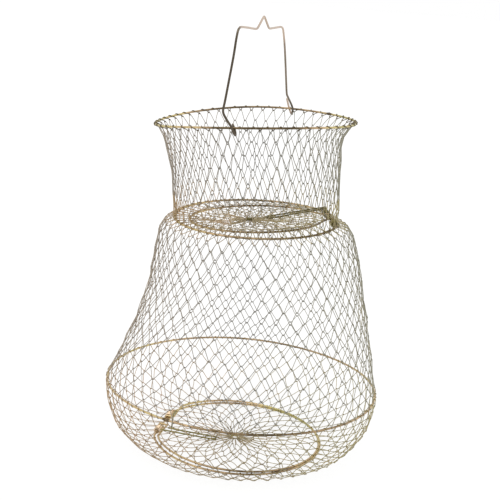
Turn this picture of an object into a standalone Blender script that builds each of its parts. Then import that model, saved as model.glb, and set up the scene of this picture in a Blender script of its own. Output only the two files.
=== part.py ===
"""Collapsible wire fish basket: four spring-wire rings carry three nets (collar, body and bowl),
a trap door closes the neck and another closes the bottom, and a bent wire bail hooks on to the rim.

The origin is on the floor, under the centre of the base ring. +X is towards the top door's hinge,
+Z is up. Lengths in the constants are millimetres; everything built is in metres."""

import math

import bpy
from mathutils import Matrix, Vector

MM = 0.001

# Ring wire and the four rings: centre, radius at the middle of the wire, and tilts about Y and X in degrees.
RING_WIRE_R = 1.2
BASE_Z, BASE_R = 1.11, 103.0
BELLY_Z, BELLY_R, BELLY_TILT = 76.2, 163.8, (0.0, -1.1)
NECK_C, NECK_R, NECK_TILT = (1.4, 0.0, 280.5), 95.8, (-2.1, 1.1)
RIM_C, RIM_R, RIM_TILT = (-8.7, 0.0, 395.8), 114.7, (-4.6, -0.9)
RIM_SADDLE = 3.3  # the rim sags by this at +X and -X, and stands up by it at +Y and -Y, where the bail holds it
RING_STEPS = 48

# Each ring that carries a door is straight for a short way, and the door turns on that straight.
TOP_HINGE_AZ, TOP_HINGE_HALF = 8.0, 36.0
BOTTOM_HINGE_AZ, BOTTOM_HINGE_HALF = 168.0, 40.0
BOTTOM_HINGE_RISE = 3.3  # the base ring's straight is bent up, so that the door's eyes clear the floor

# Doors: wire ring with an eye at each end round the straight, net, centre eyelet and spring.
EYE_R, EYE_T = 3.0, 13.0
TOP_DOOR_R, TOP_DOOR_SLOPE, TOP_DOOR_ROLL = 77.6, 2.1, 2.2  # its front side stands a little up
BOTTOM_DOOR_R, BOTTOM_DOOR_SLOPE = 101.3, 1.15
EYELET_R, EYELET_WIRE_R = 4.4, 0.9
SPRING_WIRE_R, SPRING_COIL_R, SPRING_PITCH = 0.8, 3.6, 2.0
ARM_GAP = 8.0  # between the two wires of the spring's double arm

# Nets.
NET_T = 1.0
NET_STEPS = 48

# Bail.
BAIL_WIRE_R = 1.25
BAIL_FRONT_AZ, BAIL_BACK_AZ = -99.6, 68.0

MATERIALS = {
    "ring_brass": ((0.46, 0.34, 0.16, 1.0), 0.32, 1.0),
    "net_wire": ((0.36, 0.35, 0.27, 1.0), 0.42, 1.0),
    "spring_olive": ((0.34, 0.31, 0.14, 1.0), 0.36, 1.0),
    "bail_copper": ((0.50, 0.30, 0.20, 1.0), 0.33, 1.0),
}


def clear_scene():
    for obj in list(bpy.data.objects):
        bpy.data.objects.remove(obj, do_unlink=True)


def material(name):
    made = bpy.data.materials.get(name)
    if made is None:
        colour, roughness, metallic = MATERIALS[name]
        made = bpy.data.materials.new(name)
        made.use_nodes = True
        shader = made.node_tree.nodes["Principled BSDF"]
        shader.inputs["Base Color"].default_value = colour
        shader.inputs["Roughness"].default_value = roughness
        shader.inputs["Metallic"].default_value = metallic
    return made


def own_material(node, name):
    made = material(name).copy()
    made.name = node + "_" + name
    return made


def place(obj, parent, name):
    """Puts the object in the parts' collection under its parent, keeping its points where they are."""
    PARTS.objects.link(obj)
    obj.data.materials.append(own_material(obj.name, name))
    if parent is not None:
        obj.parent = parent
        obj.matrix_parent_inverse = Matrix.Identity(4)


def axis_empty(name, where, parent=None):
    """An empty on a joint's axis; the pieces that move on it hang from it."""
    made = bpy.data.objects.new(name, None)
    PARTS.objects.link(made)
    made.empty_display_size = 0.01
    made.parent = parent
    made.matrix_world = where
    return made


def tilted(centre, degrees=(0.0, 0.0)):
    return (
        Matrix.Translation(Vector(centre) * MM)
        @ Matrix.Rotation(math.radians(degrees[0]), 4, "Y")
        @ Matrix.Rotation(math.radians(degrees[1]), 4, "X")
    )


def hinge_frame(ring, azimuth, distance, height=0.0):
    """Frame on a hinge: X inwards over the door, Y along the axis, Z along the ring's normal."""
    turn = Matrix.Rotation(math.radians(azimuth + 180.0), 4, "Z")
    return ring @ turn @ Matrix.Translation(Vector((-distance, 0.0, height)) * MM)


def chord_distance(radius, half):
    return math.sqrt(radius * radius - half * half)


def wire(name, points, radius, parent, mat, frame=Matrix.Identity(4), cyclic=False, tilt=0.0):
    """A round wire along points given in millimetres in a frame; the object's origin is the parent's."""
    into = (parent.matrix_world.inverted() if parent else Matrix.Identity(4)) @ frame
    curve = bpy.data.curves.new(name, "CURVE")
    curve.dimensions = "3D"
    curve.twist_mode = "Z_UP" if cyclic else "MINIMUM"
    curve.bevel_depth = radius * MM
    curve.bevel_resolution = 2
    curve.use_fill_caps = not cyclic
    spline = curve.splines.new("POLY")
    spline.points.add(len(points) - 1)
    for point, target in zip(points, spline.points):
        where = into @ (Vector(point) * MM)
        target.co = (where.x, where.y, where.z, 1.0)
        target.tilt = tilt
    spline.use_cyclic_u = cyclic
    obj = bpy.data.objects.new(name, curve)
    place(obj, parent, mat)
    return obj


def smooth_route(knots, per_span):
    """Catmull-Rom through the knots, so that bent wire has no sharp corners."""
    ends = [2 * Vector(knots[0]) - Vector(knots[1])] + [Vector(k) for k in knots]
    ends.append(2 * Vector(knots[-1]) - Vector(knots[-2]))
    found = []
    for a, b, c, d in zip(ends, ends[1:], ends[2:], ends[3:]):
        for step in range(per_span):
            t = step / per_span
            found.append(
                0.5
                * (
                    2 * b
                    + (c - a) * t
                    + (2 * a - 5 * b + 4 * c - d) * t * t
                    + (3 * b - a - 3 * c + d) * t * t * t
                )
            )
    found.append(Vector(knots[-1]))
    return found


def arc(radius, start, end, steps, height=0.0):
    return [
        (
            radius * math.cos(math.radians(start + (end - start) * i / steps)),
            radius * math.sin(math.radians(start + (end - start) * i / steps)),
            height,
        )
        for i in range(steps + 1)
    ]


def saddle(azimuth, size):
    """Height of a ring that has bent out of its plane."""
    return -size * math.cos(math.radians(2.0 * azimuth))


def ring_points(radius, bend=0.0, steps=RING_STEPS):
    return [
        (x, y, saddle(360.0 * i / steps, bend))
        for i, (x, y, z) in enumerate(arc(radius, 0.0, 360.0, steps)[:-1])
    ]


def ring_with_straight(radius, azimuth, half, rise=0.0):
    """A ring that is straight between two points of its circle. A rise lifts the straight on two short bends."""
    open_half = math.degrees(math.asin(half / radius))
    points = arc(radius, azimuth + open_half, azimuth - open_half + 360.0, RING_STEPS - 6)
    distance = chord_distance(radius, half)
    out = Vector((math.cos(math.radians(azimuth)), math.sin(math.radians(azimuth)), 0.0))
    along = Vector((-out.y, out.x, 0.0))
    for side in (-1.0, 1.0):
        for share in (1.0, 0.0) if side < 0 else (0.0, 1.0):
            if rise == 0.0:
                continue
            t = side * (half - 10.0 + 8.0 * share)
            lift = rise * (1.0 - share)
            point = out * distance + along * t
            points.append((point.x, point.y, lift))
    return points


def net_shell(name, sections, parent, mat="net_wire", start=0.0, end=360.0, steps=NET_STEPS):
    """A thin open-ended shell through sections (frame, radius, saddle). The net's wires lie within its thickness."""
    closed = end - start >= 360.0
    count = steps if closed else steps + 1
    into = parent.matrix_world.inverted() if parent else Matrix.Identity(4)
    points, faces = [], []
    for frame, radius, bend in sections:
        for i in range(count):
            azimuth = start + (end - start) * i / steps
            angle = math.radians(azimuth)
            height = saddle(azimuth, bend)
            points.append(
                into @ frame @ (Vector((radius * math.cos(angle), radius * math.sin(angle), height)) * MM)
            )
    for row in range(len(sections) - 1):
        for i in range(steps):
            j = (i + 1) % count
            a, b = row * count + i, row * count + j
            faces.append((a, b, b + count, a + count))
    mesh = bpy.data.meshes.new(name)
    mesh.from_pydata([tuple(p) for p in points], [], faces)
    mesh.shade_smooth()
    obj = bpy.data.objects.new(name, mesh)
    place(obj, parent, mat)
    wall = obj.modifiers.new("thickness", "SOLIDIFY")
    wall.thickness = NET_T * MM
    wall.offset = 0.0
    return obj


def door_net(name, outline, hole, hub, parent, frame):
    """A net from the door ring's outline, in the door's own plane, to the eyelet at the hub."""
    into = parent.matrix_world.inverted() @ frame
    count = len(outline)
    points = []
    for share in (0.0, 0.5, 1.0):
        for x, y in outline:
            angle = math.atan2(y, x)
            inner = Vector(hub) + Vector((hole * math.cos(angle), hole * math.sin(angle), 0.0))
            points.append(into @ (inner.lerp(Vector((x, y, 0.0)), share) * MM))
    faces = [
        (r * count + i, (r + 1) * count + i, (r + 1) * count + (i + 1) % count, r * count + (i + 1) % count)
        for r in range(2)
        for i in range(count)
    ]
    mesh = bpy.data.meshes.new(name)
    mesh.from_pydata([tuple(p) for p in points], [], faces)
    mesh.shade_smooth()
    obj = bpy.data.objects.new(name, mesh)
    place(obj, parent, "net_wire")
    wall = obj.modifiers.new("thickness", "SOLIDIFY")
    wall.thickness = NET_T * MM
    wall.offset = 0.0
    return obj


def door(
    prefix, ring_frame, azimuth, distance, height, radius, slope, roll, leave, corner, coils, splay, turn_x, tip, hub,
    hand, above, carrier,
):
    """A trap door: ring, net, eyelet and spring, all hung from an empty on the hinge axis.

    Points of the door are in its hinge frame, with X inwards, Y along the axis and Z up, and the door's
    plane falls away from the top of the eyes by the slope and rises along Y by the roll. The hub is the eyelet's place in that plane,
    from the middle of the round part; a slack net lets it hang below. The spring's arm leaves its first
    coil sideways by the splay, and comes back as far as turn_x before it crosses to the second coil."""
    frame = hinge_frame(ring_frame, azimuth, distance, height)
    pivot = axis_empty(prefix + "_door_hinge", frame, carrier)
    fall = math.tan(math.radians(slope))
    rise = math.tan(math.radians(roll))

    def on_plane(x, y, lift=0.0):
        return Vector((x, y, EYE_R - x * fall + y * rise + lift))

    eye = [
        Vector((-EYE_R * math.sin(math.radians(a)), 0.0, EYE_R * math.cos(math.radians(a))))
        for a in range(260, -1, -20)
    ]
    # The round part of the ring, between the two angles where its straight legs leave it.
    round_part = [
        on_plane(distance - radius * math.cos(math.radians(a)), radius * math.sin(math.radians(a)))
        for a in [leave + (360.0 - 2 * leave) * i / 38 for i in range(39)]
    ]
    path = [p + Vector((0.0, EYE_T, 0.0)) for p in eye]
    path.append(on_plane(corner[0], corner[1]))
    path += round_part
    path.append(on_plane(corner[0], -corner[1]))
    path += [p - Vector((0.0, EYE_T, 0.0)) for p in reversed(eye)]
    wire(prefix + "_door_ring", path, RING_WIRE_R, pivot, "ring_brass", frame)

    # Net and eyelet lie in the door's plane, whose frame has its origin at the door's centre.
    plane = (
        frame
        @ Matrix.Translation(on_plane(distance, 0.0) * MM)
        @ Matrix.Rotation(math.radians(slope), 4, "Y")
        @ Matrix.Rotation(math.radians(roll), 4, "X")
    )
    inset = RING_WIRE_R + 0.5
    outline = []
    for i in range(NET_STEPS):
        angle = math.radians(360.0 * i / NET_STEPS)
        reach = radius - inset
        # The legs cut the circle off with a straight on each side of the hinge, and the eyes cut its end.
        start = Vector((-radius * math.cos(math.radians(leave)), radius * math.sin(math.radians(leave))))
        stop = Vector((corner[0] - distance, corner[1]))
        run = stop - start
        off = Vector((-run.y, run.x)).normalized()
        if off.dot(start) < 0:
            off = -off
        depth = off.dot(start) - inset
        for mirror in (1.0, -1.0):
            lean = off.x * math.cos(angle) + mirror * off.y * math.sin(angle)
            if lean > 1e-6:
                reach = min(reach, depth / lean)
        if math.cos(angle) < -1e-6:
            reach = min(reach, (distance - corner[0]) / -math.cos(angle))
        outline.append((reach * math.cos(angle), reach * math.sin(angle)))
    door_net(prefix + "_door_net", outline, EYELET_R + EYELET_WIRE_R + 0.5, hub, pivot, plane)

    bpy.ops.mesh.primitive_torus_add(
        major_segments=20,
        minor_segments=8,
        major_radius=EYELET_R * MM,
        minor_radius=EYELET_WIRE_R * MM,
    )
    eyelet = bpy.context.active_object
    eyelet.name = prefix + "_door_eyelet"
    eyelet.data.name = eyelet.name
    eyelet.data.shade_smooth()
    for owner in list(eyelet.users_collection):
        owner.objects.unlink(eyelet)
    place(eyelet, pivot, "spring_olive")
    eyelet.matrix_local = pivot.matrix_world.inverted() @ plane @ Matrix.Translation(Vector(hub) * MM)

    # Spring: coil, double arm out over the door and back, run along the hinge, second coil.
    side = 1.0 if above else -1.0
    (first_from, first_to), (second_from, second_to) = coils

    def coil(t_from, t_to, turn_from, turns):
        steps = int(round(abs(turns) * 10))
        found = []
        for i in range(steps + 1):
            a = math.radians(turn_from + 360.0 * turns * i / steps)
            y = t_from + (t_to - t_from) * i / steps
            found.append(Vector((SPRING_COIL_R * math.sin(a), y, side * SPRING_COIL_R * math.cos(a))))
        return found

    first_turns = abs(first_to - first_from) / SPRING_PITCH
    second_turns = abs(second_to - second_from) / SPRING_PITCH
    tip_at = on_plane(tip[0], hand * tip[1], side * (NET_T / 2 + SPRING_WIRE_R + 0.5) + 0.7 * hub[2])
    tip_at.y = tip[1]
    toward = Vector((tip[0], tip[1] - first_to, 0.0)).normalized()
    aside = Vector((toward.y, -toward.x, 0.0)) * ARM_GAP
    knee = Vector((7.0, first_to + splay, side * SPRING_COIL_R + (1.9 if above else 0.0)))
    share = (turn_x - knee.x) / (tip_at.x - knee.x)
    back = knee.lerp(tip_at, share) + aside
    back.x = turn_x
    path = [Vector((-SPRING_COIL_R, first_from, -side * 3.0))]
    path += coil(first_from, first_to, -90.0, first_turns + 0.25)
    path += [knee, tip_at - toward * 2.0, tip_at + aside * 0.15, tip_at + aside * 0.5 + toward * 0.6]
    path += [tip_at + aside * 0.85, tip_at + aside - toward * 2.0, back]
    path += [back + Vector((-0.5, -4.5, 0.0)), Vector((7.0, second_from + 1.0, knee.z))]
    path += coil(second_from, second_to, 0.0, -second_turns - 0.25)
    path.append(path[-1] + Vector((0.0, 0.0, -side * 3.0)))
    path = [Vector((p.x, hand * p.y, p.z)) for p in path]
    wire(prefix + "_door_spring", path, SPRING_WIRE_R, pivot, "spring_olive", frame)
    return frame


def notch(obj, where, size):
    """Opens the net where a hook of the bail passes through it."""
    bpy.ops.mesh.primitive_cube_add(size=1.0)
    cutter = bpy.context.active_object
    cutter.name = obj.name + "_notch"
    for owner in list(cutter.users_collection):
        owner.objects.unlink(cutter)
    CUTTERS.objects.link(cutter)
    cutter.data.transform(where @ Matrix.Diagonal((*(Vector(size) * MM), 1.0)))
    cutter.hide_render = True
    cutter.display_type = "WIRE"
    cut = obj.modifiers.new("notch", "BOOLEAN")
    cut.operation = "DIFFERENCE"
    cut.solver = "EXACT"
    cut.object = cutter


def between(a, b, share):
    return tuple(x + (y - x) * share for x, y in zip(a, b))


def bowl(angles):
    """Part of a quarter ellipse from the base ring, flat there, to the belly ring, upright there."""
    sections = []
    for degrees in angles:
        a = math.radians(degrees)
        height = BELLY_Z - (BELLY_Z - 1.0) * math.cos(a)
        share = height / BELLY_Z
        sections.append(
            (
                tilted((0.0, 0.0, height), (BELLY_TILT[0] * share, BELLY_TILT[1] * share)),
                BASE_R + (BELLY_R - BASE_R) * math.sin(a),
                0.0,
            )
        )
    return sections


def body():
    """Cone from the belly that swells into a rounded shoulder under the neck ring."""
    stations = (
        (78.2, 163.4),
        (106.0, 153.5),
        (132.0, 146.0),
        (158.0, 138.5),
        (185.0, 131.0),
        (217.0, 124.5),
        (250.0, 119.0),
        (268.0, 113.5),
        (276.0, 106.5),
        (279.7, 99.4),
    )
    sections = []
    for z, radius in stations:
        up = min(1.0, max(0.0, (z - BELLY_Z) / (NECK_C[2] - BELLY_Z)))
        sag = 7.5 * math.sin(math.pi * up) + NECK_C[0] * up
        tilt = (NECK_TILT[0] * up ** 3, BELLY_TILT[1] + (NECK_TILT[1] - BELLY_TILT[1]) * up)
        sections.append((tilted((sag, 0.0, z), tilt), radius, 0.0))
    return sections


def collar():
    """Narrows quickly from the rim and then runs almost straight down to the neck ring."""
    stations = ((2.6, 111.1), (10.0, 105.3), (25.0, 101.3), (50.0, 98.6), (82.0, 96.4), (110.3, 95.8))
    depth = math.dist(RIM_C, NECK_C)
    sections = []
    for down, radius in stations:
        share = down / depth
        x, y, z = between(RIM_C, NECK_C, share)
        x -= 3.0 * math.sin(math.pi * share / 0.45) if share < 0.45 else 0.0
        sections.append((tilted((x, y, z), between(RIM_TILT, NECK_TILT, share)), radius, RIM_SADDLE * (1.0 - share) ** 2))
    return sections


def main():
    clear_scene()
    base_frame = tilted((0.0, 0.0, BASE_Z))
    belly_frame = tilted((0.0, 0.0, BELLY_Z), BELLY_TILT)
    neck_frame = tilted(NECK_C, NECK_TILT)
    rim_frame = tilted(RIM_C, RIM_TILT)
    belly = axis_empty("bowl_fold", belly_frame)
    neck = axis_empty("body_fold", neck_frame, belly)
    rim = axis_empty("collar_fold", rim_frame, neck)

    # Base: ring and bowl. The ring's flat sides face down and up, so that it stands on them.
    wire(
        "base_ring",
        ring_with_straight(BASE_R, BOTTOM_HINGE_AZ, BOTTOM_HINGE_HALF, BOTTOM_HINGE_RISE),
        RING_WIRE_R,
        None,
        "ring_brass",
        base_frame,
        cyclic=True,
        tilt=math.radians(22.5),
    )
    net_shell("bowl_net_low", bowl((3.0, 16.0, 34.0, 50.6)), None)
    net_shell("bowl_net_high", bowl((52.0, 70.0, 88.4)), None)

    # Belly: widest ring and the body net that stands on it.
    wire("belly_ring", ring_points(BELLY_R), RING_WIRE_R, belly, "ring_brass", belly_frame, cyclic=True)
    net_shell("body_net", body(), belly)

    # Neck: ring with the top hinge's straight, and the row of net inside it that the door closes against.
    wire(
        "neck_ring",
        ring_with_straight(NECK_R, TOP_HINGE_AZ, TOP_HINGE_HALF),
        RING_WIRE_R,
        neck,
        "ring_brass",
        neck_frame,
        cyclic=True,
    )
    top_distance = chord_distance(NECK_R, TOP_HINGE_HALF)
    outer = neck_frame @ Matrix.Rotation(math.radians(TOP_HINGE_AZ), 4, "Z")
    seat_lift = EYE_R - top_distance * math.tan(math.radians(TOP_DOOR_SLOPE)) + RING_WIRE_R + NET_T / 2 + 0.5
    seat = (
        outer
        @ Matrix.Translation((0.0, 0.0, seat_lift * MM))
        @ Matrix.Rotation(math.radians(-TOP_DOOR_SLOPE), 4, "Y")
        @ Matrix.Rotation(math.radians(-TOP_DOOR_ROLL), 4, "X")
    )
    net_shell(
        "neck_skirt_net",
        [(seat, TOP_DOOR_R - 3.0, 0.0), (seat, TOP_DOOR_R + 2.5, 0.0), (outer, NECK_R - 2.6, 0.0)],
        neck,
        start=32.0,
        end=328.0,
        steps=40,
    )

    # Rim: ring and collar net.
    wire("rim_ring", ring_points(RIM_R, RIM_SADDLE), RING_WIRE_R, rim, "ring_brass", rim_frame, cyclic=True)
    collar_net = net_shell("collar_net", collar(), neck)
    for azimuth in (BAIL_FRONT_AZ, BAIL_BACK_AZ):
        hook = rim_frame @ Matrix.Rotation(math.radians(azimuth), 4, "Z")
        height = saddle(azimuth, RIM_SADDLE) - 3.0
        notch(collar_net, hook @ Matrix.Translation(Vector((RIM_R - 8.0, 0.0, height)) * MM), (20.0, 21.0, 15.0))

    # Trap doors. The top one closes upwards against the skirt; the bottom one lies on the base ring.
    door(
        "top",
        neck_frame,
        TOP_HINGE_AZ,
        top_distance,
        0.0,
        TOP_DOOR_R,
        TOP_DOOR_SLOPE,
        TOP_DOOR_ROLL,
        leave=22.0,
        corner=(6.0, 14.5),
        coils=((20.0, 34.0), (-18.0, -28.0)),
        splay=-0.5,
        turn_x=8.0,
        tip=(77.0, 4.0),
        hub=(8.0, -3.0, -1.5),
        hand=-1.0,
        above=True,
        carrier=neck,
    )
    door(
        "bottom",
        base_frame,
        BOTTOM_HINGE_AZ,
        chord_distance(BASE_R, BOTTOM_HINGE_HALF),
        BOTTOM_HINGE_RISE,
        BOTTOM_DOOR_R,
        BOTTOM_DOOR_SLOPE,
        0.0,
        leave=31.0,
        corner=(8.0, 14.5),
        coils=((20.8, 28.8), (-28.8, -16.8)),
        splay=6.5,
        turn_x=17.0,
        tip=(74.0, 28.0),
        hub=(-2.5, -3.5, -3.4),
        hand=-1.0,
        above=True,
        carrier=None,
    )

    # Bail: its hooks turn round the rim at two nearly opposite points, on the line through both.
    ends = []
    for azimuth in (BAIL_FRONT_AZ, BAIL_BACK_AZ):
        a = math.radians(azimuth)
        ends.append(rim_frame @ (Vector((RIM_R * math.cos(a), RIM_R * math.sin(a), saddle(azimuth, RIM_SADDLE))) * MM))
    front, back = ends
    along = (back - front).normalized()
    up = (Vector((0.0, 0.0, 1.0)) - along * along.z).normalized()
    across = up.cross(along)
    bail_frame = Matrix.Translation(front) @ Matrix(
        (
            (along.x, across.x, up.x, 0.0),
            (along.y, across.y, up.y, 0.0),
            (along.z, across.z, up.z, 0.0),
            (0.0, 0.0, 0.0, 1.0),
        )
    )
    span = (back - front).length / MM
    bail = axis_empty("bail_hinge", bail_frame, rim)
    # (distance along the axis from the front hook, sideways, height), front to back. It leans a little to -X.
    knots = [(4.8, 4.6, 2.6), (5.0, 2.2, -2.4), (3.2, 0.4, -6.4), (0.3, -0.4, -7.6), (-2.9, 0.6, -4.9), (-5.0, 3.0, 1.3)]
    knots += [(-7.6, 7.8, 8.6), (-9.0, 11.6, 15.6), (-8.4, 11.6, 22.0), (-7.0, 10.8, 30.6), (-1.0, 7.7, 71.3)]
    knots += [(1.6, 6.8, 90.0), (3.2, 6.2, 98.2), (7.0, 6.2, 101.1), (14.0, 6.3, 102.4), (41.0, 6.2, 101.2)]
    knots += [(62.0, 6.1, 99.8), (70.0, 6.1, 99.9), (76.0, 6.2, 102.0), (92.0, 6.8, 110.4), (97.5, 6.9, 112.4)]
    knots += [(102.5, 6.8, 109.8), (114.0, 6.2, 101.6), (119.0, 6.1, 99.4), (127.0, 6.1, 99.2), (146.5, 6.1, 99.8)]
    knots += [(167.2, 6.1, 100.2), (176.0, 6.0, 98.4), (179.7, 5.8, 94.0), (186.4, 4.8, 78.9), (193.5, 3.4, 55.1)]
    knots += [(span - x, y, z) for x, y, z in ((28.6, 1.9, 31.0), (24.0, 1.6, 20.3), (20.5, 0.7, 15.9), (7.5, -1.4, 5.4))]
    knots += [(span - x, y, z) for x, y, z in ((4.9, -2.6, 0.4), (3.8, -2.4, -4.0), (0.4, -1.0, -7.0), (-3.8, 1.6, -5.6))]
    knots += [(span - x, y, z) for x, y, z in ((-5.8, 4.6, -0.6), (-5.4, 6.4, 4.6), (-4.6, 8.2, 10.8))]
    wire("bail_handle", smooth_route(knots, 3), BAIL_WIRE_R, bail, "bail_copper", bail_frame)


PARTS = bpy.data.collections.new("wire_fish_basket")
bpy.context.scene.collection.children.link(PARTS)
CUTTERS = bpy.data.collections.new("wire_fish_basket_cutters")
bpy.context.scene.collection.children.link(CUTTERS)
main()
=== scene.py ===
import math

import bpy
import numpy as np
from mathutils import Matrix, Vector


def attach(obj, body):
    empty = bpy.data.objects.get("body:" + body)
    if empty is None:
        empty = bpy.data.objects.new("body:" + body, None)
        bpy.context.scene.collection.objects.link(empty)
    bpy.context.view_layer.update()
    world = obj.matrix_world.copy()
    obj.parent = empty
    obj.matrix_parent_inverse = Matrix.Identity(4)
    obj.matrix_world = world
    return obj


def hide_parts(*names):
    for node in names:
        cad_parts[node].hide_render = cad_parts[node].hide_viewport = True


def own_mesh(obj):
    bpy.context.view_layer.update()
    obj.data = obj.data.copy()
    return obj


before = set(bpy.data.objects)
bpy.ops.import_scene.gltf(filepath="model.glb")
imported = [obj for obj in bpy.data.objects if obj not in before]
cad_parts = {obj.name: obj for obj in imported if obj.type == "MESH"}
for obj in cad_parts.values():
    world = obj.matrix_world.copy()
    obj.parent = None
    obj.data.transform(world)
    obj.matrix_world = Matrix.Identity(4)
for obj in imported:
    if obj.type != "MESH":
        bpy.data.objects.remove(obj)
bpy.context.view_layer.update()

# Lengths below are millimetres in the row's frame; a mesh is made in metres.
MM = 0.001

NET_R = 0.405       # net wire
RING_R = 1.2        # ring wire
BAIL_R = 1.25
SPRING_R = 0.9
LOOPS = 50          # loops in every ring of the net
HOOK = 1.12         # how far one row's bend reaches past the next row's bend
BEND = 0.98         # radius of a bend
LIFT = 0.47         # how far a leg stands off the net's middle surface, out on the way down and in on the way up

BASE_Z, BASE_R = 2.15, 103.0
BELLY_Z, BELLY_R, BELLY_TILT = 76.2, 163.0, (0.0, -1.1)
NECK_C, NECK_R, NECK_TILT = (1.4, 0.0, 280.5), 95.8, (-2.1, 1.1)
RIM_C, RIM_R, RIM_TILT = (-8.7, 0.0, 395.8), 114.7, (-4.6, -0.9)
RIM_SADDLE = 3.3
TOP_AZ, TOP_HALF = 8.0, 36.0
TOP_DOOR_R, TOP_DOOR_SLOPE, TOP_DOOR_ROLL = 77.6, 2.1, 2.2
BOTTOM_AZ, BOTTOM_HALF = 168.0, 40.0
HINGE_Z = 4.41      # the base ring's straight, which the bottom door turns on

rng = np.random.default_rng(17)


# ------------------------------------------------------------------ wires as meshes

def unit(v):
    v = np.asarray(v, float)
    return v / np.maximum(np.linalg.norm(v, axis=-1, keepdims=True), 1e-12)


def transport(points, closed):
    """Tangents, and two normals that turn as little as they can along the wire."""
    if closed:
        tangents = unit(np.roll(points, -1, 0) - np.roll(points, 1, 0))
    else:
        tangents = unit(np.gradient(points, axis=0))
    first = np.zeros(3)
    first[int(np.argmin(np.abs(tangents[0])))] = 1.0
    normals = np.empty_like(points)
    normals[0] = unit(first - tangents[0] * (first @ tangents[0]))
    for i in range(1, len(points)):
        v = normals[i - 1] - tangents[i] * (normals[i - 1] @ tangents[i])
        normals[i] = v / max(math.sqrt(v @ v), 1e-12)
    if closed:
        v = unit(normals[-1] - tangents[0] * (normals[-1] @ tangents[0]))
        twist = math.atan2(np.cross(v, normals[0]) @ tangents[0], v @ normals[0])
        angle = (twist * np.arange(len(points)) / len(points))[:, None]
        normals = normals * np.cos(angle) + np.cross(tangents, normals) * np.sin(angle)
    return tangents, normals, np.cross(tangents, normals)


class Wires:
    """Round wires gathered into one mesh, with the tarnish and the tone at each point of each wire; on the rings and
    door frames the tone also carries painted reflection and painted highlight.
    """

    def __init__(self):
        self.points, self.quads, self.tris, self.dark, self.tone = [], [], [], [], []
        self.count = 0

    def add(self, path, radius, sides=8, closed=False, dark=0.0, tone=0.5):
        path = np.asarray(path, float)
        n = len(path)
        radii = np.full(n, float(radius)) if np.isscalar(radius) else np.asarray(radius, float)
        dark = np.full(n, float(dark)) if np.isscalar(dark) else np.asarray(dark, float)
        tone = np.full(n, float(tone)) if np.isscalar(tone) else np.asarray(tone, float)
        tangents, normals, across = transport(path, closed)
        if not closed:
            # rounded ends: two smaller rings at each end before the pole
            for end, sign in ((0, -1.0), (-1, 1.0)):
                extra, size = [], []
                for reach, share in ((0.55, 0.83), (0.88, 0.47)):
                    extra.append(path[end] + tangents[end] * sign * radii[end] * reach)
                    size.append(radii[end] * share)
                rows = [np.array(extra), np.array(size), np.repeat(dark[end], 2), np.repeat(tone[end], 2)]
                frames = [np.repeat(x[end][None], 2, 0) for x in (tangents, normals, across)]
                if sign < 0:
                    rows, frames = [x[::-1] for x in rows], [x[::-1] for x in frames]
                    path, radii, dark, tone = [np.concatenate(x) for x in zip(rows, (path, radii, dark, tone))]
                    tangents, normals, across = [np.concatenate(x) for x in zip(frames, (tangents, normals, across))]
                else:
                    path, radii, dark, tone = [np.concatenate(x) for x in zip((path, radii, dark, tone), rows)]
                    tangents, normals, across = [np.concatenate(x) for x in zip((tangents, normals, across), frames)]
            n = len(path)
        angle = np.arange(sides) * 2.0 * math.pi / sides
        ring = (
            path[:, None, :]
            + radii[:, None, None] * (np.cos(angle)[None, :, None] * normals[:, None, :] + np.sin(angle)[None, :, None] * across[:, None, :])
        )
        base = self.count
        self.points.append(ring.reshape(-1, 3))
        self.dark.append(np.repeat(dark, sides))
        self.tone.append(np.repeat(tone, sides))
        i = np.arange(n if closed else n - 1)
        j = (i + 1) % n
        a = np.arange(sides)
        b = (a + 1) % sides
        quads = np.stack(
            [
                (i[:, None] * sides + a[None]).ravel(),
                (i[:, None] * sides + b[None]).ravel(),
                (j[:, None] * sides + b[None]).ravel(),
                (j[:, None] * sides + a[None]).ravel(),
            ],
            -1,
        )
        self.quads.append(quads + base)
        self.count += n * sides
        if not closed:
            poles = np.array([path[0] - tangents[0] * radii[0] * 0.25, path[-1] + tangents[-1] * radii[-1] * 0.25])
            self.points.append(poles)
            self.dark.append(dark[[0, -1]])
            self.tone.append(tone[[0, -1]])
            first, last = self.count, self.count + 1
            low, high = base, base + (n - 1) * sides
            self.tris.append(np.stack([np.full(sides, first), low + b, low + a], -1))
            self.tris.append(np.stack([np.full(sides, last), high + a, high + b], -1))
            self.count += 2

    def build(self, name, material):
        points = np.concatenate(self.points) * MM
        quads = np.concatenate(self.quads)
        tris = np.concatenate(self.tris) if self.tris else np.zeros((0, 3), int)
        mesh = bpy.data.meshes.new(name)
        mesh.vertices.add(len(points))
        mesh.vertices.foreach_set("co", points.astype(np.float32).ravel())
        mesh.loops.add(quads.size + tris.size)
        mesh.loops.foreach_set("vertex_index", np.concatenate([quads.ravel(), tris.ravel()]).astype(np.int32))
        mesh.polygons.add(len(quads) + len(tris))
        starts = np.concatenate([np.arange(len(quads)) * 4, quads.size + np.arange(len(tris)) * 3])
        mesh.polygons.foreach_set("loop_start", starts.astype(np.int32))
        mesh.update(calc_edges=True)
        mesh.validate()
        mesh.shade_smooth()
        for label, values in (("tarnish", self.dark), ("tone", self.tone)):
            attribute = mesh.attributes.new(label, "FLOAT", "POINT")
            attribute.data.foreach_set("value", np.concatenate(values).astype(np.float32))
        obj = bpy.data.objects.new(name, mesh)
        bpy.context.scene.collection.objects.link(obj)
        mesh.materials.append(material)
        return obj


def smooth_route(knots, per_span):
    """Catmull-Rom through the knots."""
    knots = [np.asarray(k, float) for k in knots]
    ends = [2 * knots[0] - knots[1]] + knots + [2 * knots[-1] - knots[-2]]
    found = []
    for a, b, c, d in zip(ends, ends[1:], ends[2:], ends[3:]):
        for step in range(per_span):
            t = step / per_span
            found.append(
                0.5 * (2 * b + (c - a) * t + (2 * a - 5 * b + 4 * c - d) * t * t + (3 * b - a - 3 * c + d) * t ** 3)
            )
    found.append(knots[-1])
    return np.array(found)


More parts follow.
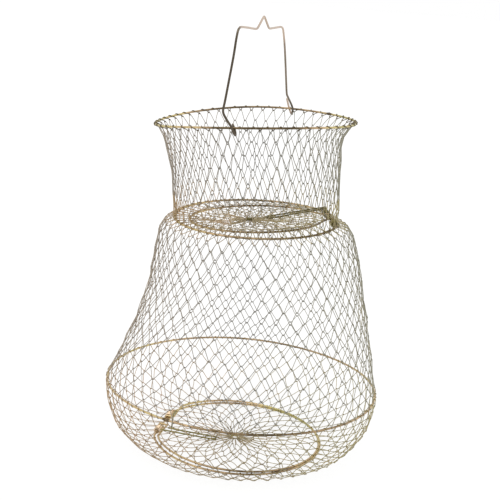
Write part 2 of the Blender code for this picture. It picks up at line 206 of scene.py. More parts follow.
def resample(points, spacing):
    """The same route with even spacing."""
    points = np.asarray(points, float)
    step = np.linalg.norm(np.diff(points, axis=0), axis=1)
    keep = np.concatenate([[True], step > 1e-6])
    points = points[keep]
    s = np.concatenate([[0.0], np.cumsum(np.linalg.norm(np.diff(points, axis=0), axis=1))])
    count = max(2, int(round(s[-1] / spacing)) + 1)
    t = np.linspace(0.0, s[-1], count)
    return np.stack([np.interp(t, s, points[:, k]) for k in range(3)], -1)


def into(matrix, points):
    m = np.array(matrix, float)
    return np.asarray(points, float) @ m[:3, :3].T + m[:3, 3]


def tilted(centre, degrees=(0.0, 0.0)):
    return (
        Matrix.Translation(Vector(centre))
        @ Matrix.Rotation(math.radians(degrees[0]), 4, "Y")
        @ Matrix.Rotation(math.radians(degrees[1]), 4, "X")
    )


def hinge_frame(ring, azimuth, distance, height=0.0):
    turn = Matrix.Rotation(math.radians(azimuth + 180.0), 4, "Z")
    return ring @ turn @ Matrix.Translation(Vector((-distance, 0.0, height)))


def chord(radius, half):
    return math.sqrt(radius * radius - half * half)


# ------------------------------------------------------------------ rings

class Ring:
    """A wire ring; one that carries a door is straight between two points, and may be bent up there."""

    def __init__(self, where, radius, azimuth=None, half=0.0, rise=0.0, wobble=0.0, saddle=0.0):
        self.where, self.radius, self.azimuth, self.half, self.rise = where, radius, azimuth, half, rise
        self.wobble, self.saddle = wobble, saddle

    def at(self, theta):
        theta = np.asarray(theta, float)
        r = np.full_like(theta, self.radius)
        z = self.wobble * (np.sin(3 * theta + 2.1) + 0.5 * np.sin(5 * theta + 0.4)) - self.saddle * np.cos(2 * theta)
        if self.azimuth is not None:
            turn = (theta - math.radians(self.azimuth) + math.pi) % (2 * math.pi) - math.pi
            open_half = math.asin(self.half / self.radius)
            straight = chord(self.radius, self.half) / np.maximum(np.cos(turn), 0.2)
            # the corner between circle and straight is a bend of about 12 mm
            blend = np.clip((np.abs(turn) - open_half) / 0.07 * 0.5 + 0.5, 0.0, 1.0)
            blend = blend * blend * (3 - 2 * blend)
            r = np.where(np.abs(turn) < open_half + 0.07, straight * (1 - blend) + self.radius * blend, r)
            r = np.minimum(r, self.radius)
            t = np.abs(np.tan(np.clip(turn, -1.2, 1.2))) * chord(self.radius, self.half)
            up = np.clip((self.half - 2.0 - t) / 8.0, 0.0, 1.0)
            near = np.abs(turn) < 1.0
            z = np.where(near, z * np.clip((np.abs(turn) - 0.38) / 0.3, 0.0, 1.0) + self.rise * up * up * (3 - 2 * up), z)
        local = np.stack([r * np.cos(theta), r * np.sin(theta), z], -1)
        return into(self.where, local)

    def tangent(self, theta):
        return unit(self.at(theta + 1e-3) - self.at(theta - 1e-3))

    def path(self, steps=288):
        return self.at(np.arange(steps) * 2 * math.pi / steps)


BASE = Ring(tilted((0.0, 0.0, BASE_Z)), BASE_R, BOTTOM_AZ, BOTTOM_HALF, HINGE_Z - BASE_Z)
BELLY = Ring(tilted((0.0, 0.0, BELLY_Z), BELLY_TILT), BELLY_R, wobble=0.35)
NECK = Ring(tilted(NECK_C, NECK_TILT), NECK_R, TOP_AZ, TOP_HALF, 0.0, wobble=0.0)
RIM = Ring(tilted(RIM_C, RIM_TILT), RIM_R, wobble=0.3, saddle=RIM_SADDLE)


def around(points, centre, table):
    """The tone at each point, by its azimuth from the centre: the plating's own tone with painted reflection and
    painted highlight worked in; table holds (azimuth, tone).
    """
    azimuth = np.degrees(np.arctan2(points[:, 1] - centre[1], points[:, 0] - centre[0]))
    at, tone = zip(*table)
    return np.interp(azimuth, at, tone, period=360.0)


# ------------------------------------------------------------------ net surfaces

class Surface:
    """A surface of revolution that leans and sags: rows of (centre x, z, radius, tilts, saddle), from the upper ring down."""

    def __init__(self, rows, ripple=0.0, seed=0):
        rows = smooth_route([np.array(r, float) for r in rows], 16)
        step = np.hypot(np.diff(rows[:, 2]), np.diff(rows[:, 1]))
        self.s = np.concatenate([[0.0], np.cumsum(step)])
        self.rows, self.length = rows, self.s[-1]
        local = np.random.default_rng(seed)
        self.waves = [(local.integers(2, 7), local.uniform(0, 6.28), local.uniform(0.01, 0.05), local.uniform(0, 6.28), ripple * local.uniform(0.4, 1.0)) for _ in range(7)]

    def radius(self, s):
        return np.interp(s, self.s, self.rows[:, 2])

    def at(self, s, theta):
        s, theta = np.broadcast_arrays(np.asarray(s, float), np.asarray(theta, float))
        x, z, r, lean, nod, bend = [np.interp(s, self.s, self.rows[:, k]) for k in range(6)]
        hold = np.clip(np.minimum(s, self.length - s) / 25.0, 0.0, 1.0)
        for count, phase, rate, shift, height in self.waves:
            r = r + hold * height * np.sin(count * theta + phase) * np.sin(rate * s * 6.28 + shift)
        t, n = np.radians(lean), np.radians(nod)
        lx, ly, lz = r * np.cos(theta), r * np.sin(theta), -bend * np.cos(2 * theta)
        ly, lz = ly * np.cos(n) - lz * np.sin(n), ly * np.sin(n) + lz * np.cos(n)
        return np.stack([x + lx * np.cos(t) + lz * np.sin(t), ly, z - lx * np.sin(t) + lz * np.cos(t)], -1)

    def basis(self, s, theta):
        """Along the row, down the net, and out."""
        d = 0.01
        east = unit(self.at(s, theta + d * 0.1) - self.at(s, theta - d * 0.1))
        down = unit(self.at(s + d, theta) - self.at(s - d, theta)) if self.length > 0 else None
        down = unit(down - east * (down * east).sum(-1, keepdims=True))
        return east, down, np.cross(down, east) * self.side(s, theta, down, east)

    def side(self, s, theta, down, east):
        out = np.cross(down, east)
        x = np.interp(s, self.s, self.rows[:, 0])
        radial = self.at(s, theta) - np.stack([x, np.zeros_like(x), self.at(s, theta)[..., 2] * 0 + np.interp(s, self.s, self.rows[:, 1])], -1)
        flat = (out * radial).sum(-1, keepdims=True)
        return np.where(flat < -1e-6, -1.0, 1.0)


class Disc:
    """A door's net: from the door's outline in to the eyelet at the hub, slack in between."""

    def __init__(self, plane, outline, hole, hub, sag, ripple, seed):
        self.plane, self.outline, self.hole, self.sag = plane, outline, hole, sag
        self.hub = np.array(hub, float)
        self.length = float(np.mean(outline(np.linspace(0, 6.28, 60)))) - hole
        local = np.random.default_rng(seed)
        self.waves = [(local.integers(2, 9), local.uniform(0, 6.28), local.uniform(2.0, 9.0), local.uniform(0, 6.28), ripple * local.uniform(0.4, 1.0)) for _ in range(8)]

    def radius(self, s):
        return self.hole + (self.length - np.asarray(s, float)) * 1.0

    def at(self, s, theta):
        s, theta = np.broadcast_arrays(np.asarray(s, float), np.asarray(theta, float))
        share = np.clip(1.0 - s / self.length, -0.1, 1.2)
        r = self.hole + (self.outline(theta) - self.hole) * share
        hold = np.clip(np.minimum(share, 1.0 - share) / 0.25, 0.0, 1.0)
        z = self.sag * np.clip(1 - share * share, 0.0, 1.0)
        for count, phase, rate, shift, height in self.waves:
            z = z + hold * height * np.sin(count * theta + phase) * np.sin(rate * share + shift)
        local = np.stack([r * np.cos(theta), r * np.sin(theta), z], -1) + np.clip(1 - share, 0.0, 1.2)[..., None] * self.hub
        return into(self.plane, local.reshape(-1, 3)).reshape(*r.shape, 3)

    def basis(self, s, theta):
        east = unit(self.at(s, theta + 1e-3) - self.at(s, theta - 1e-3))
        down = unit(self.at(s + 0.05, theta) - self.at(s - 0.05, theta))
        down = unit(down - east * (down * east).sum(-1, keepdims=True))
        return east, down, np.cross(down, east)


def line_knots(surface, s, index, count, loose, seed, slow):
    """Where one line of knots lies: each knot is a little off its even place, more so between neighbours than at random."""
    local = np.random.default_rng(seed + index * 7919)
    pitch = 2 * math.pi / count
    theta = (np.arange(count) + 0.5 * (index % 2)) * pitch
    r = np.maximum(surface.radius(s), 3.0)
    drift = sum(
        slow * a * np.sin(m * theta + p + index * q)
        for m, a, p, q in ((2, 0.7, 0.4, 0.35), (5, 0.5, 2.0, -0.5), (9, 0.35, 4.4, 0.8))
    )
    side = loose * local.normal(0.0, 0.45, count) + drift
    down = loose * local.normal(0.0, 0.45, count) + 0.6 * np.roll(drift, 3)
    return theta + np.clip(side, -2.2, 2.2) / r, np.full(count, s) + np.clip(down, -2.2, 2.2)


def row(wires, upper, lower, top, bottom, radius, index, sides=6, bend=BEND, hook=HOOK, lift=LIFT, dark=0.0, closed=True, ring_r=RING_R, wave=0.25):
    """One zigzag wire between two lines. upper and lower are (points, east, down, out) of the knots, in order, each
    lower knot half a pitch after its upper one. top and bottom say whether the wire hooks on a row or goes round a ring."""
    (pa, ea, da, na), (pb, eb, db, nb) = upper, lower
    count = len(pa)
    local = np.random.default_rng(1000 + index)
    over = ring_r + radius + 0.03

    def vertex(p, d, kind, sign):
        return p + d * sign * (-hook / 2) if kind == "knot" else p

    va, vb = vertex(pa, da, top, 1.0), vertex(pb, db, bottom, -1.0)

    def leg(a, ea, da, na, ka, b, eb, db, nb, kb, side):
        """Points of the leg from the upper knot a to the lower knot b; side is +1 where the leg leaves a eastwards."""
        run = unit(b - a)
        out = []
        # the bend at a
        half = np.arctan2(np.abs((run * ea).sum(-1)), np.maximum((run * da).sum(-1), 1e-6))
        gap = np.linalg.norm(b - a, axis=-1)
        rho = np.minimum(bend, 0.42 * gap * np.sin(half))
        turn = (math.pi / 2 - half)
        lifts = side * lift
        for share in (0.0, 0.5, 1.0):
            if ka == "knot":
                phi = turn * share
                p = a + da * rho[:, None] + rho[:, None] * (np.sin(phi)[:, None] * side * ea - np.cos(phi)[:, None] * da)
                p = p + na * lifts * min(1.0, share * 1.6)
            else:
                psi = math.radians(105.0) * share
                p = a + ea * side * 1.3 * share + over * (math.sin(psi) * side * na - math.cos(psi) * da)
            out.append(p)
        start = out[-1]
        halfb = np.arctan2(np.abs((run * eb).sum(-1)), np.maximum((run * db).sum(-1), 1e-6))
        rhob = np.minimum(bend, 0.42 * gap * np.sin(halfb))
        turnb = (math.pi / 2 - halfb)
        tail = []
        for share in (1.0, 0.5, 0.0):
            if kb == "knot":
                phi = turnb * share
                p = b - db * rhob[:, None] + rhob[:, None] * (-np.sin(phi)[:, None] * side * eb + np.cos(phi)[:, None] * db)
                p = p + nb * lifts * min(1.0, share * 1.6)
            else:
                psi = math.radians(105.0) * share
                p = b - eb * side * 1.3 * share + over * (math.sin(psi) * side * nb + math.cos(psi) * db)
            tail.append(p)
        stop = tail[0]
        bow = local.normal(0.0, wave, (len(a), 1)) * unit(np.cross(run, na)) + local.normal(0.0, wave * 0.5, (len(a), 1)) * na
        mids = []
        for share in (0.34, 0.67):
            p = start + (stop - start) * share + bow * (4 * share * (1 - share))
            # a leg leaves a ring on its own side and keeps its lift on the way
            mids.append(p)
        return out + mids + tail

    down_legs = leg(va, ea, da, na, top, vb, eb, db, nb, bottom, 1.0)
    up_legs = leg(np.roll(va, -1, 0), np.roll(ea, -1, 0), np.roll(da, -1, 0), np.roll(na, -1, 0), top, vb, eb, db, nb, bottom, -1.0)
    path, tarnish = [], []
    worn = [1.0, 0.9, 0.5, 0.0, 0.0, 0.5, 0.9, 1.0]
    for k in range(count):
        for i in range(7):
            path.append(down_legs[i][k])
            tarnish.append(worn[i])
        if not closed and k == count - 1:
            path.append(down_legs[7][k])
            tarnish.append(1.0)
            break
        for i in range(7, 0, -1):
            path.append(up_legs[i][k])
            tarnish.append(worn[i])
    path, tarnish = np.array(path), np.array(tarnish)
    size = radius * (1.0 + 0.03 * np.sin(np.arange(len(path)) * 0.37))
    wires.add(path, size, sides, closed, np.clip(tarnish + dark, 0, 1))


def knots_on(surface, s, index, count, loose, seed, slow):
    theta, down = line_knots(surface, s, index, count, loose, seed, slow)
    return (surface.at(down, theta), *surface.basis(down, theta)), theta


def knots_on_ring(ring, theta, inward_points, flip):
    """A line on a ring. inward_points are where the net goes next; flip is +1 where the ring is above the net."""
    p = ring.at(theta)
    east = ring.tangent(theta)
    down = inward_points - p if flip > 0 else p - inward_points
    down = unit(down - east * (down * east).sum(-1, keepdims=True))
    out = np.cross(down, east)
    centre = np.array(ring.where, float)[:3, 3]
    flat = (out * (p - centre)).sum(-1, keepdims=True)
    # where the net leaves the ring nearly in its own plane, the ring's normal decides which side is out
    axis = np.array(ring.where, float)[:3, 2]
    level = (out * axis).sum(-1, keepdims=True)
    sign = np.where(np.abs(flat) > 0.35 * np.linalg.norm(p - centre, axis=-1, keepdims=True), np.sign(flat), np.sign(level) if ring is NECK else np.sign(flat + 1e-9))
    return p, east, down, out * sign


def net(name, surface, lines, count, material, upper_ring=None, lower_ring=None, first_index=0, loose=1.0, slow=0.6, seed=0, radius=NET_R, sides=6, bend=BEND, hook=HOOK):
    """All rows of a net, as lists of (row number, Wires). lines are the arc lengths of its lines of knots, rings included."""
    found = []
    held = []
    for i, s in enumerate(lines):
        index = first_index + i
        on_ring = (i == 0 and upper_ring is not None) or (i == len(lines) - 1 and lower_ring is not None)
        values, theta = knots_on(surface, s, index, count, 0.0 if on_ring else loose, seed, 0.0 if on_ring else slow)
        held.append((values, theta, index))
    if upper_ring is not None:
        theta = held[0][1]
        nearby = surface.at(np.full(count, lines[1]), theta)
        held[0] = (knots_on_ring(upper_ring, theta, nearby, 1.0), theta, held[0][2])
    if lower_ring is not None:
        theta = held[-1][1]
        nearby = surface.at(np.full(count, lines[-2]), theta)
        held[-1] = (knots_on_ring(lower_ring, theta, nearby, -1.0), theta, held[-1][2])
    for i in range(len(lines) - 1):
        upper, lower = held[i][0], held[i + 1][0]
        # each lower knot lies half a pitch after its upper one
        if held[i][2] % 2 == 1:
            lower = tuple(np.roll(x, -1, 0) for x in lower)
        wires = Wires()
        row(
            wires,
            upper,
            lower,
            "ring" if i == 0 and upper_ring is not None else "knot",
            "ring" if i == len(lines) - 2 and lower_ring is not None else "knot",
            radius,
            seed * 100 + i,
            sides,
            bend,
            hook,
        )
        found.append(wires)
    return found, held


def joined(parts):
    """Several wires as one, for one mesh."""
    whole = Wires()
    for part in parts:
        for points in part.points:
            whole.points.append(points)
        for quads in part.quads:
            whole.quads.append(quads + whole.count)
        for tris in part.tris:
            whole.tris.append(tris + whole.count)
        whole.dark += part.dark
        whole.tone += part.tone
        whole.count += part.count
    return whole


# ------------------------------------------------------------------ materials

def metal(name, tones, patches, roughness, tarnish=None, tarnish_amount=0.0, spread=None, sides=None, scratches=1.0, metallic=1.0, scale=1.0):
    """Drawn wire with thin plating: tones change along it in patches, with specks, draw marks and dull tarnish.
    With a spread, the patches vary the wire's tone attribute by that much, which on the rings carries painted
    reflection and painted highlight. sides are tints at -X and at +X."""
    made = bpy.data.materials.new(name)
    made.use_nodes = True
    nodes, links = made.node_tree.nodes, made.node_tree.links
    shader = nodes["Principled BSDF"]
    shader.inputs["Metallic"].default_value = metallic
    place = nodes.new("ShaderNodeTexCoord")

    broad = nodes.new("ShaderNodeTexNoise")
    broad.inputs["Scale"].default_value = patches
    broad.inputs["Detail"].default_value = 3.0
    broad.inputs["Roughness"].default_value = 0.55
    broad.inputs["Distortion"].default_value = 0.6
    links.new(place.outputs["Object"], broad.inputs["Vector"])
    ramp = nodes.new("ShaderNodeValToRGB")
    ramp.color_ramp.interpolation = "B_SPLINE"
    stops = ramp.color_ramp.elements
    while len(stops) < len(tones):
        stops.new(0.5)
    for stop, (at, colour) in zip(stops, tones):
        stop.position = at
        stop.color = (*colour, 1.0)
    if spread is None:
        links.new(broad.outputs["Fac"], ramp.inputs["Fac"])
    else:
        tone = nodes.new("ShaderNodeAttribute")
        tone.attribute_type = "GEOMETRY"
        tone.attribute_name = "tone"
        around_it = nodes.new("ShaderNodeMath")
        around_it.operation = "MULTIPLY_ADD"
        around_it.inputs[1].default_value = spread
        around_it.inputs[2].default_value = -0.5 * spread
        links.new(broad.outputs["Fac"], around_it.inputs[0])
        total = nodes.new("ShaderNodeMath")
        total.operation = "ADD"
        links.new(around_it.outputs["Value"], total.inputs[0])
        links.new(tone.outputs["Fac"], total.inputs[1])
        links.new(total.outputs["Value"], ramp.inputs["Fac"])
    colour = ramp.outputs["Color"]

    if sides is not None:
        split = nodes.new("ShaderNodeSeparateXYZ")
        links.new(place.outputs["Object"], split.inputs["Vector"])
        across = nodes.new("ShaderNodeMapRange")
        across.interpolation_type = "SMOOTHSTEP"
        across.inputs["From Min"].default_value = -0.15
        across.inputs["From Max"].default_value = 0.15
        links.new(split.outputs["X"], across.inputs["Value"])
        tint = nodes.new("ShaderNodeValToRGB")
        tint.color_ramp.elements[0].color = (*sides[0], 1.0)
        tint.color_ramp.elements[1].color = (*sides[2], 1.0)
        middle = tint.color_ramp.elements.new(0.5)
        middle.color = (*sides[1], 1.0)
        links.new(across.outputs["Result"], tint.inputs["Fac"])
        tinted = nodes.new("ShaderNodeMix")
        tinted.data_type = "RGBA"
        tinted.blend_type = "MULTIPLY"
        tinted.inputs[0].default_value = 1.0
        links.new(colour, tinted.inputs[6])
        links.new(tint.outputs["Color"], tinted.inputs[7])
        colour = tinted.outputs[2]

    speck = nodes.new("ShaderNodeTexNoise")
    speck.inputs["Scale"].default_value = 900.0 * scale
    speck.inputs["Detail"].default_value = 4.0
    speck.inputs["Roughness"].default_value = 0.65
    links.new(place.outputs["Object"], speck.inputs["Vector"])
    grain = nodes.new("ShaderNodeMapRange")
    grain.inputs["From Min"].default_value = 0.30
    grain.inputs["From Max"].default_value = 0.72
    grain.inputs["To Min"].default_value = 0.72
    grain.inputs["To Max"].default_value = 1.22
    links.new(speck.outputs["Fac"], grain.inputs["Value"])
    mottled = nodes.new("ShaderNodeMix")
    mottled.data_type = "RGBA"
    mottled.blend_type = "MULTIPLY"
    mottled.inputs[0].default_value = 1.0
    links.new(colour, mottled.inputs[6])
    links.new(grain.outputs["Result"], mottled.inputs[7])
    colour = mottled.outputs[2]

    rough_in = nodes.new("ShaderNodeMapRange")
    rough_in.inputs["From Min"].default_value = 0.25
    rough_in.inputs["From Max"].default_value = 0.75
    rough_in.inputs["To Min"].default_value = roughness - 0.08
    rough_in.inputs["To Max"].default_value = roughness + 0.14
    links.new(speck.outputs["Fac"], rough_in.inputs["Value"])
    rough = rough_in.outputs["Result"]

    if tarnish is not None:
        worn = nodes.new("ShaderNodeAttribute")
        worn.attribute_type = "GEOMETRY"
        worn.attribute_name = "tarnish"
        much = nodes.new("ShaderNodeMath")
        much.operation = "MULTIPLY"
        much.inputs[1].default_value = tarnish_amount
        links.new(worn.outputs["Fac"], much.inputs[0])
        dull = nodes.new("ShaderNodeMix")
        dull.data_type = "RGBA"
        dull.blend_type = "MIX"
        links.new(much.outputs["Value"], dull.inputs[0])
        links.new(colour, dull.inputs[6])
        dull.inputs[7].default_value = (*tarnish, 1.0)
        colour = dull.outputs[2]
        rougher = nodes.new("ShaderNodeMath")
        rougher.operation = "MULTIPLY_ADD"
        rougher.inputs[1].default_value = 0.18
        links.new(much.outputs["Value"], rougher.inputs[0])
        links.new(rough, rougher.inputs[2])
        rough = rougher.outputs["Value"]
    links.new(colour, shader.inputs["Base Color"])
    links.new(rough, shader.inputs["Roughness"])

    marks = nodes.new("ShaderNodeTexNoise")
    marks.inputs["Scale"].default_value = 2600.0 * scale
    marks.inputs["Detail"].default_value = 2.0
    links.new(place.outputs["Object"], marks.inputs["Vector"])
    bump = nodes.new("ShaderNodeBump")
    bump.inputs["Strength"].default_value = 0.12 * scratches
    bump.inputs["Distance"].default_value = 0.00006
    links.new(marks.outputs["Fac"], bump.inputs["Height"])
    links.new(bump.outputs["Normal"], shader.inputs["Normal"])
    return made


# The rings' ramp: copper, gold and olive plating; its dark-brown low end serves the dark sleeves and the painted dark
# reflection at the rings' fronts, and its gold is partly painted highlight.
RING_METAL = metal(
    "ring_plating_painted_reflection",
    [
        (0.0, (0.065, 0.047, 0.025)), (0.18, (0.19, 0.135, 0.070)), (0.36, (0.60, 0.43, 0.265)), (0.54, (0.66, 0.54, 0.25)),
        (0.74, (0.40, 0.37, 0.13)), (1.0, (0.60, 0.55, 0.33)),
    ],
    55.0,
    0.30,
    tarnish=(0.06, 0.045, 0.03),
    tarnish_amount=0.6,
    spread=0.55,
)
NET_TONES = [(0.30, (0.22, 0.205, 0.175)), (0.45, (0.36, 0.345, 0.30)), (0.56, (0.295, 0.29, 0.262)), (0.68, (0.41, 0.375, 0.31))]
NET_METAL = metal(
    "net_plated_wire",
    NET_TONES,
    38.0,
    0.40,
    tarnish=(0.085, 0.078, 0.070),
    tarnish_amount=0.17,
    sides=((1.04, 0.93, 0.86), (0.92, 0.93, 0.96), (0.98, 0.97, 0.84)),
)
NET_WARM = metal(
    "net_brassy_wire",
    [(0.30, (0.23, 0.18, 0.115)), (0.45, (0.42, 0.36, 0.24)), (0.56, (0.35, 0.31, 0.21)), (0.68, (0.50, 0.39, 0.27))],
    42.0,
    0.38,
    tarnish=(0.09, 0.07, 0.05),
    tarnish_amount=0.17,
    sides=((1.10, 0.92, 0.82), (1.0, 0.97, 0.90), (0.95, 0.97, 0.76)),
)
LACING_METAL = metal(
    "lacing_dark_wire",
    [(0.30, (0.085, 0.066, 0.042)), (0.45, (0.18, 0.145, 0.09)), (0.56, (0.13, 0.105, 0.065)), (0.68, (0.21, 0.165, 0.105))],
    42.0,
    0.38,
    tarnish=(0.05, 0.04, 0.03),
    tarnish_amount=0.30,
)
SPRING_METAL = metal(
    "spring_wire",
    [(0.0, (0.09, 0.07, 0.03)), (0.30, (0.23, 0.205, 0.075)), (0.55, (0.36, 0.33, 0.13)), (0.72, (0.50, 0.35, 0.24)), (1.0, (0.88, 0.70, 0.50))],
    60.0,
    0.34,
    tarnish=(0.06, 0.05, 0.03),
    tarnish_amount=0.35,
    spread=0.4,
)
BAIL_METAL = metal(
    "bail_wire",
    [(0.0, (0.070, 0.056, 0.041)), (0.30, (0.15, 0.122, 0.088)), (0.55, (0.245, 0.205, 0.16)), (0.80, (0.49, 0.38, 0.31)), (1.0, (0.70, 0.58, 0.47))],
    40.0,
    0.33,
    tarnish=(0.04, 0.032, 0.026),
    tarnish_amount=0.5,
    spread=0.30,
)


# ------------------------------------------------------------------ pieces

def finish_piece(obj, body, slot, *nodes):
    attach(obj, body)
    if nodes:
        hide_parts(*nodes)
    return obj


def ring_piece(name, ring, body, node, lap_at, table, steps=288):
    """A ring, with the short sleeve that joins its two ends."""
    wires = Wires()
    path = ring.path(steps)
    theta = np.arange(steps) * 2 * math.pi / steps
    turn = (theta - math.radians(lap_at) + math.pi) % (2 * math.pi) - math.pi
    near = np.exp(-((turn * ring.radius / 6.0) ** 2))
    centre = np.array(ring.where, float)[:3, 3]
    # the tone round the ring, from the table, is the plating's own tone with painted dark reflection at the front and
    # painted highlight
    wires.add(path, RING_R, 14, True, 0.9 * near, around(path, centre, table))
    sleeve = ring.at(math.radians(lap_at) + np.linspace(-3.4, 3.4, 9) / ring.radius)
    wires.add(sleeve, np.array([1.45, 1.62, 1.68, 1.60, 1.66, 1.60, 1.68, 1.62, 1.45]), 12, False, 0.8, 0.15)
    obj = wires.build(name, RING_METAL)
    return finish_piece(obj, body, "ring_wire", node)


# Tones round each ring, by azimuth: 0 dark brown, 0.36 copper, 0.52 gold, 0.72 olive. The shift from copper to olive is
# the plating's own tone; the dark brown stretches at each ring's front, towards the camera, are painted dark
# reflection, and the gold stretches are partly painted highlight.
RIM_PLATING_AND_REFLECTION = ((-180, 0.62), (-150, 0.58), (-128, 0.50), (-112, 0.10), (-80, 0.02), (-62, 0.12), (-45, 0.56), (-10, 0.74), (30, 0.66), (62, 0.16), (115, 0.12), (150, 0.56))
NECK_PLATING_AND_REFLECTION = ((-180, 0.50), (-160, 0.56), (-140, 0.50), (-118, 0.38), (-100, 0.16), (-60, 0.13), (-35, 0.18), (-10, 0.14), (15, 0.16), (32, 0.50), (50, 0.44), (66, 0.20), (90, 0.12), (115, 0.22), (145, 0.52))
BELLY_PLATING_AND_REFLECTION = ((-180, 0.46), (-150, 0.40), (-125, 0.50), (-108, 0.20), (-75, 0.10), (-50, 0.24), (-20, 0.34), (10, 0.42), (45, 0.34), (65, 0.23), (90, 0.20), (112, 0.24), (132, 0.42), (155, 0.60))
BASE_PLATING_AND_REFLECTION = ((-180, 0.42), (-150, 0.38), (-125, 0.48), (-100, 0.20), (-80, 0.12), (-50, 0.30), (-20, 0.42), (15, 0.62), (35, 0.76), (60, 0.68), (85, 0.30), (105, 0.30), (125, 0.52), (150, 0.48))

ring_piece("base_ring_wire", BASE, "base", "base_ring", -61.0, BASE_PLATING_AND_REFLECTION)
ring_piece("belly_ring_wire", BELLY, "belly", "belly_ring", -118.8, BELLY_PLATING_AND_REFLECTION)
ring_piece("neck_ring_wire", NECK, "neck", "neck_ring", -31.5, NECK_PLATING_AND_REFLECTION)
ring_piece("rim_ring_wire", RIM, "rim", "rim_ring", 39.6, RIM_PLATING_AND_REFLECTION)


# Bowl: from the belly ring down to the base ring.
def bowl_rows():
    rows = [(0.0, BELLY_Z, BELLY_R, *BELLY_TILT, 0.0)]
    for degrees in (80.0, 68.0, 56.0, 44.0, 33.0, 23.0, 14.0, 6.0):
        a = math.radians(degrees)
        z = BELLY_Z - (BELLY_Z - 1.6) * math.cos(a) ** (2 / 2.12)
        share = z / BELLY_Z
        rows.append((0.0, z, BASE_R + 61.0 * math.sin(a) ** (2 / 2.12), BELLY_TILT[0] * share, BELLY_TILT[1] * share, 0.0))
    rows.append((0.0, BASE_Z - 0.6, BASE_R, 0.0, 0.0, 0.0))
    return rows


def body_rows():
    stations = (
        (280.7, 96.4), (279.1, 101.0), (275.8, 106.5), (268.0, 112.8), (250.0, 118.6), (217.0, 124.2), (185.0, 130.6),
        (158.0, 138.0), (132.0, 145.4), (106.0, 153.0), (89.0, 158.8), (BELLY_Z, BELLY_R),
    )
    rows = []
    for z, radius in stations:
        up = min(1.0, max(0.0, (z - BELLY_Z) / (NECK_C[2] - BELLY_Z)))
        nod = BELLY_TILT[1] + (NECK_TILT[1] - BELLY_TILT[1]) * up
        rows.append((7.5 * math.sin(math.pi * up) + NECK_C[0] * up, z, radius, NECK_TILT[0] * up ** 3, nod, 0.0))
    return rows


COLLAR_DEPTH = math.dist(RIM_C, NECK_C)


def collar_rows():
    stations = (
        (0.0, RIM_R), (3.0, 110.4), (10.0, 105.0), (25.0, 101.1), (50.0, 98.5), (82.0, 96.5), (103.0, 96.0), (COLLAR_DEPTH, NECK_R),
    )
    rows = []
    for down, radius in stations:
        share = down / COLLAR_DEPTH
        x, y, z = [a + (b - a) * share for a, b in zip(RIM_C, NECK_C)]
        if share < 0.45:
            x -= 3.0 * math.sin(math.pi * share / 0.45)
        lean, nod = [a + (b - a) * share for a, b in zip(RIM_TILT, NECK_TILT)]
        rows.append((x, z, radius, lean, nod, RIM_SADDLE * (1.0 - share) ** 2))
    return rows


BOWL = Surface(bowl_rows(), ripple=0.9, seed=3)
BODY = Surface(body_rows(), ripple=0.8, seed=5)
COLLAR = Surface(collar_rows(), ripple=0.5, seed=9)

bowl_lines = list(np.linspace(0.0, BOWL.length, 10))
bowl_wires, _ = net("bowl", BOWL, bowl_lines, LOOPS, NET_METAL, BELLY, BASE, first_index=1, loose=1.2, slow=0.8, seed=2)
bowl = joined(bowl_wires).build("bowl_net_wires", NET_WARM)
finish_piece(bowl, "base", "net_wire", "bowl_net_low", "bowl_net_high")
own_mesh(bowl)

body_lines = list(np.linspace(0.0, BODY.length, 19))
body_wires, _ = net("body", BODY, body_lines, LOOPS, NET_METAL, NECK, BELLY, first_index=0, loose=0.65, slow=0.7, seed=4)
body = joined(body_wires[1:]).build("body_net_wires", NET_METAL)
finish_piece(body, "belly", "net_wire", "body_net")
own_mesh(body)
shoulder = body_wires[0].build("body_net_top_wire", NET_WARM)
finish_piece(shoulder, "neck", "net_wire")
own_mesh(shoulder)

first_loop = 5.2
collar_lines = [first_loop] + list(first_loop + (COLLAR.length - first_loop) * np.arange(1, 9) / 8.0)
collar_wires, collar_held = net("collar", COLLAR, collar_lines, LOOPS, NET_METAL, None, NECK, first_index=0, loose=0.55, slow=0.5, seed=6)
collar = joined(collar_wires[1:-2]).build("collar_net_wires", NET_METAL)
finish_piece(collar, "neck", "net_wire", "collar_net")
collar_foot = joined(collar_wires[-2:]).build("collar_net_foot_wires", NET_WARM)
finish_piece(collar_foot, "neck", "net_wire")
for piece in (collar, collar_foot):
    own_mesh(piece)
collar_top = collar_wires[0].build("collar_net_top_wire", NET_METAL)
finish_piece(collar_top, "rim", "net_wire")
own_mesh(collar_top)


